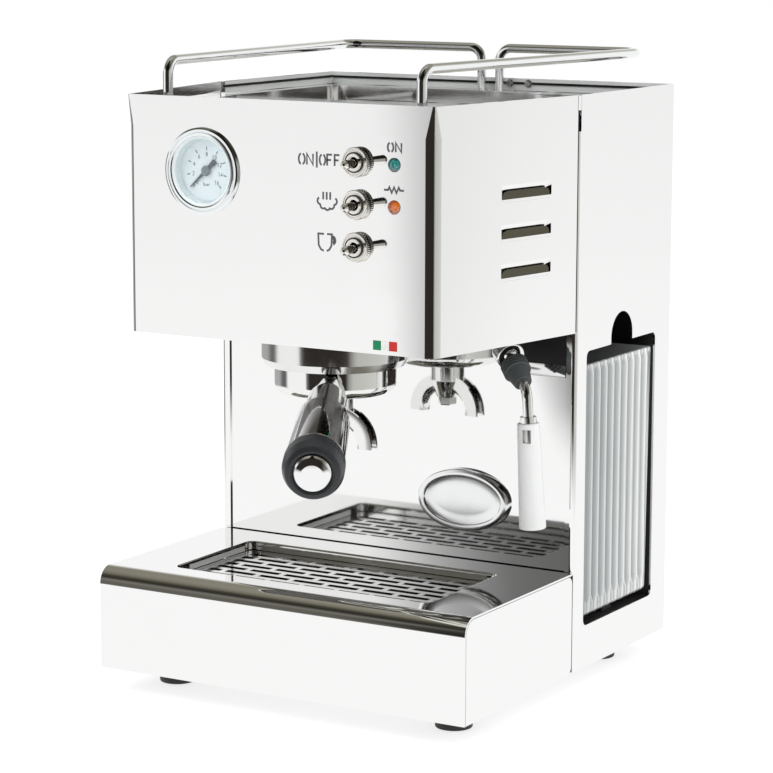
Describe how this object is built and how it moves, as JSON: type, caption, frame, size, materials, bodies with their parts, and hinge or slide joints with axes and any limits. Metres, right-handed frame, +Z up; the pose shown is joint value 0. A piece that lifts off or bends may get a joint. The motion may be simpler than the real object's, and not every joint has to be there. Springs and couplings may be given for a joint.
{
  "type": "espresso machine",
  "caption": "Home espresso machine in polished steel: sheet body, drip tray and grid, gauge, toggles, lock-in portafilter, ball-jointed steam wand, side tank and cup rails.",
  "frame": {"origin": "on the table under the middle of the machine's bounding box, with the handle included", "axes": "+Z up, -Y the front with the gauge and the handle, +X the side with the water tank"},
  "size_m": [0.25, 0.363, 0.3805],
  "materials": {
    "polished_steel": "mirror polished stainless sheet",
    "satin_steel": "satin stainless",
    "chrome": "bright plating",
    "black_rubber": "matt",
    "black_plastic": "fine matt",
    "copper": "drawn tube",
    "cast_aluminium": "as cast",
    "dial_paint": "matt",
    "needle_paint": "matt",
    "white_plastic": "translucent moulded plastic",
    "slate_rubber": "matt moulded silicone",
    "clear_glass": "clear",
    "teal_lens": "translucent",
    "amber_lens": "translucent",
    "clear_plastic": "clear moulded plastic"
  },
  "bodies": {
    "machine": {"base_wrap": "polished_steel", "base_side_left": "polished_steel", "base_side_right": "polished_steel", "rear_housing": "polished_steel", "splash_panel": "polished_steel", "head_shell": "polished_steel", "head_underside": "polished_steel", "cup_tray": "polished_steel", "badge": "polished_steel", "floor_plate": "satin_steel", "shower_screen": "satin_steel", "screen_screw": "satin_steel", "body_screws": "satin_steel", "cup_rail_left": "chrome", "cup_rail_right": "chrome", "gauge_bezel": "chrome", "switch_nuts": "chrome", "group_head": "chrome", "steam_socket": "chrome", "rubber_feet": "black_rubber", "group_gasket": "black_rubber", "pump_mounts": "black_rubber", "suction_hose": "black_rubber", "switch_bodies": "black_plastic", "gauge_case": "black_plastic", "tank_bay": "black_plastic", "tank_coupling": "black_plastic", "pump": "black_plastic", "steam_valve": "black_plastic", "thermostats": "black_plastic", "power_inlet": "black_plastic", "pressure_pipe": "copper", "steam_pipe": "copper", "gauge_pipe": "copper", "thermoblock": "cast_aluminium", "gauge_dial": "dial_paint", "gauge_glass": "clear_glass", "lamp_power": "teal_lens", "lamp_heat": "amber_lens"},
    "lever_power": {"lever_power": "chrome"},
    "lever_steam": {"lever_steam": "chrome"},
    "lever_coffee": {"lever_coffee": "chrome"},
    "needle": {"gauge_needle": "needle_paint"},
    "portafilter": {"portafilter": "chrome", "filter_basket": "satin_steel", "basket_spring": "satin_steel", "spout": "chrome", "spout_nut": "chrome", "handle_collar": "black_plastic", "handle_grip": "chrome", "handle_ring": "black_rubber", "handle_cap": "chrome"},
    "wand_seat": {"ball_seat": "black_rubber"},
    "wand": {"steam_wand": "chrome", "steam_grip": "slate_rubber", "wand_tip": "chrome"},
    "sleeve": {"froth_sleeve": "white_plastic"},
    "tank": {"water_tank": "clear_plastic"},
    "tray": {"drip_tray": "satin_steel"},
    "grid": {"drip_grid": "satin_steel"}
  },
  "joints": [
    {"name": "toggle_power", "type": "hinge", "parent": "machine", "child": "lever_power", "pos_m": [0.0534, -0.08253, 0.3263], "axis": [0, 0, 1], "range_deg": [-25, 0]},
    {"name": "toggle_steam", "type": "hinge", "parent": "machine", "child": "lever_steam", "pos_m": [0.0534, -0.08253, 0.3026], "axis": [0, 0, 1], "range_deg": [-25, 0]},
    {"name": "toggle_coffee", "type": "hinge", "parent": "machine", "child": "lever_coffee", "pos_m": [0.0534, -0.08253, 0.2789], "axis": [0, 0, 1], "range_deg": [-25, 0]},
    {"name": "gauge_turn", "type": "hinge", "parent": "machine", "child": "needle", "pos_m": [-0.0504, -0.07653, 0.3161], "axis": [0, 1, 0], "range_deg": [0, 270], "stiffness_Nm_per_rad": 0.0008},
    {"name": "portafilter_turn", "type": "hinge", "parent": "machine", "child": "portafilter", "pos_m": [0, -0.01753, 0.2003], "axis": [0, 0, 1], "range_deg": [-60, 0]},
    {"name": "wand_swivel", "type": "hinge", "parent": "machine", "child": "wand_seat", "pos_m": [0.0906, 0.02907, 0.2075], "axis": [0.7332, -0.5728, -0.3665], "range_deg": [-12, 15]},
    {"name": "wand_tilt", "type": "hinge", "parent": "wand_seat", "child": "wand", "pos_m": [0.0906, 0.02907, 0.2075], "axis": [-0.6157, -0.788, 0], "range_deg": [0, 25]},
    {"name": "sleeve_pull", "type": "slide", "parent": "wand", "child": "sleeve", "axis": [0.045, 0.0266, -0.9986], "range_m": [0, 0.025]},
    {"name": "tank_slide", "type": "slide", "parent": "machine", "child": "tank", "axis": [1, 0, 0], "range_m": [0, 0.17]},
    {"name": "tray_lift", "type": "slide", "parent": "machine", "child": "tray", "axis": [0, 0, 1], "range_m": [0, 0.045]},
    {"name": "grid_lift", "type": "slide", "parent": "tray", "child": "grid", "axis": [0, 0, 1], "range_m": [0, 0.03]}
  ]
}
